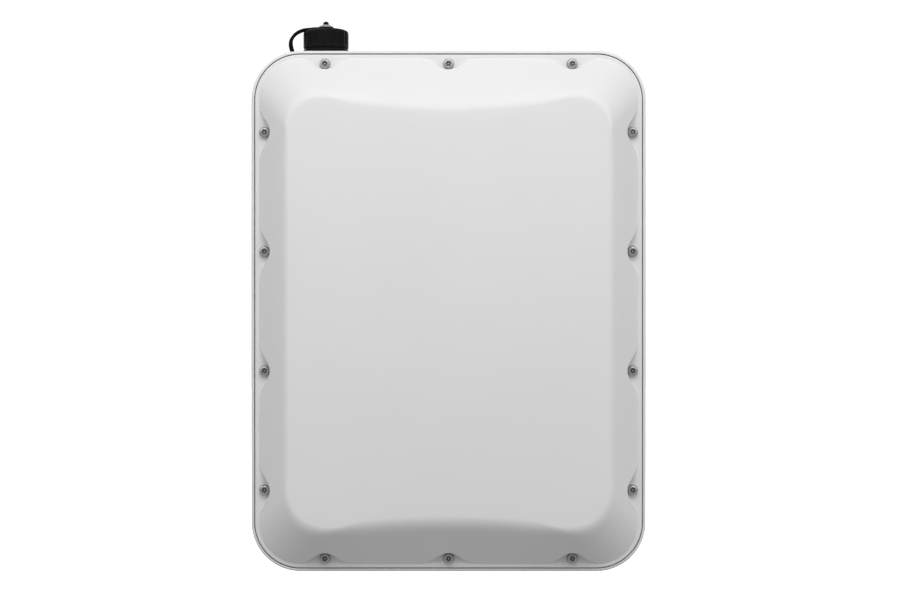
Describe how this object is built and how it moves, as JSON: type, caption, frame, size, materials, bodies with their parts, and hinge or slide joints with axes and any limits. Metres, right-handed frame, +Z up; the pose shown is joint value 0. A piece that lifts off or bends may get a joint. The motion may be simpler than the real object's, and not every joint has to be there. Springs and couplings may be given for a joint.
{
  "type": "flat panel outdoor antenna",
  "caption": "Flat outdoor antenna panel: finned cast housing, moulded radome cover with screws in scalloped pockets, capped data port on top and plugged cable entries below.",
  "frame": {"origin": "centre of the rear four-hole bracket pattern, on the rear mounting plane", "axes": "+Z up, the face looks along -Y, +X to the viewer's right; +Y points out of the back towards the bracket"},
  "size_m": [0.2762, 0.0967, 0.3909],
  "materials": {
    "housing_paint": "die-cast, light grey powder coat, fine texture",
    "radome_shell": "UV-stable moulded plastic, fine satin texture",
    "stainless": "A4 stainless, satin",
    "seal_rubber": "black EPDM",
    "nickel_plate": "satin nickel plate",
    "black_plastic": "glass-filled nylon, moulded",
    "contact_gold": "gold flash",
    "cable_jacket": "PVC jacket",
    "tether_rubber": "matt black elastomer",
    "grey_plastic": "light grey polyamide",
    "membrane": "white vent membrane",
    "board_green": "glass-epoxy laminate with solder mask",
    "feed_laminate": "bare microwave laminate",
    "zinc_screw": "bright zinc plate",
    "chip_black": "epoxy mould compound",
    "gap_pad": "silicone gap pad",
    "tinned_steel": "tin plate",
    "module_case": "black anodised",
    "capacitor_can": "sleeved can",
    "header_plastic": "natural nylon",
    "rf_gold": "gold plate",
    "coax_copper": "tinned copper jacket",
    "reflector_aluminium": "chromated sheet",
    "nylon": "natural nylon",
    "patch_brass": "passivated"
  },
  "bodies": {
    "housing": {"rear_housing": "housing_paint", "housing_frame": "housing_paint", "cover_gasket": "seal_rubber", "port_body": "nickel_plate", "port_seal": "seal_rubber", "port_jam_nut": "nickel_plate", "port_insert": "black_plastic", "port_contacts": "contact_gold", "port_lead": "cable_jacket", "tether_strap": "tether_rubber", "entry_plugs": "grey_plastic", "entry_plug_seals": "seal_rubber", "vent_body": "grey_plastic", "vent_seal": "seal_rubber", "vent_membrane": "membrane", "main_board": "board_green", "board_screws": "zinc_screw", "board_chips": "chip_black", "power_chips": "chip_black", "thermal_pads": "gap_pad", "shield_frames": "tinned_steel", "shield_lids": "tinned_steel", "power_module": "module_case", "line_transformers": "chip_black", "capacitors": "capacitor_can", "lead_header": "header_plastic", "rf_sockets": "rf_gold", "rf_leads": "coax_copper", "reflector_posts": "zinc_screw", "antenna_reflector": "reflector_aluminium", "reflector_screws": "zinc_screw", "feed_spacers": "nylon", "feed_board": "feed_laminate", "patch_spacers": "nylon", "patches_low": "patch_brass", "patches_high": "patch_brass"},
    "cap_carrier": {"tether_washer": "grey_plastic"},
    "dust_cap": {"dust_cap": "black_plastic", "cap_seal": "seal_rubber", "cap_rivet": "black_plastic"},
    "front_cover": {"radome_cover": "radome_shell", "cover_screws": "stainless", "cover_screw_washers": "stainless"}
  },
  "joints": [
    {"name": "cap_lift", "type": "slide", "parent": "housing", "child": "cap_carrier", "axis": [0, 0, 1], "range_m": [0, 0.016], "deforming": ["tether_strap"]},
    {"name": "cap_spin", "type": "hinge", "parent": "cap_carrier", "child": "dust_cap", "pos_m": [-0.0871, -0.039, 0.18], "axis": [0, 0, 1], "range_deg": [0, 1440]},
    {"name": "cover_off", "type": "slide", "parent": "housing", "child": "front_cover", "axis": [0, -1, 0], "range_m": [0, 0.1]}
  ],
  "couplings": [
    {"joint": "cap_lift", "follows": "cap_spin", "m_per_rad": 0.000636}
  ]
}
